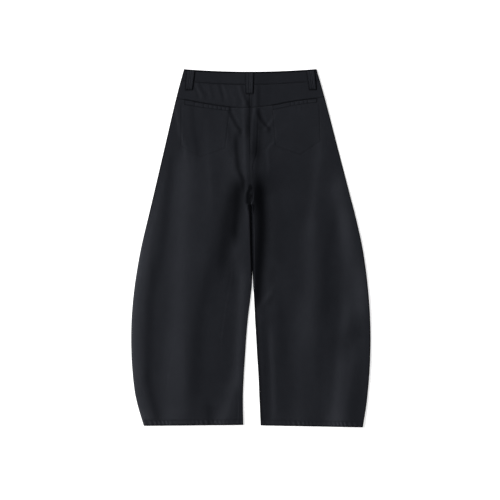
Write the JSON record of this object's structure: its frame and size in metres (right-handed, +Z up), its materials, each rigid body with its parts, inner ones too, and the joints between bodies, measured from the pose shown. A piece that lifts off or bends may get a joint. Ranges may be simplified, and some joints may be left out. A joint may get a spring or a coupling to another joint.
{
  "type": "barrel leg trousers",
  "caption": "Barrel leg trousers laid flat with the back up: waistband with belt loops, yokes, welt pockets and wide legs that curve out to narrower hems.",
  "frame": {"origin": "bottom centre of the bounding box, on the surface that the trousers lie on", "axes": "+Y from the hems to the waist, +Z up from the surface, +X to the wearer's right"},
  "size_m": [0.6708, 1.0025, 0.0129],
  "materials": {
    "cloth": "black trouser cloth with a slight blue cast and a soft, faint sheen",
    "pocket_cloth": "thin black pocketing",
    "zip_tape": "black woven tape",
    "slider": "darkened metal",
    "button": "black, softly polished"
  },
  "bodies": {
    "root": {"back_left": "cloth", "back_right": "cloth", "yoke_left": "cloth", "yoke_right": "cloth", "front_left": "cloth", "front_right": "cloth", "waistband_back": "cloth", "waistband_front_left": "cloth", "waistband_front_right": "cloth", "belt_loop_back_centre": "cloth", "belt_loop_back_left": "cloth", "belt_loop_back_right": "cloth", "belt_loop_front_left": "cloth", "belt_loop_front_right": "cloth", "pocket_welt_left": "cloth", "pocket_welt_right": "cloth", "pocket_bag_left": "pocket_cloth", "pocket_bag_right": "pocket_cloth", "fly_zip_tape": "zip_tape", "fly_zip_slider": "slider", "button": "button"}
  },
  "joints": []
}
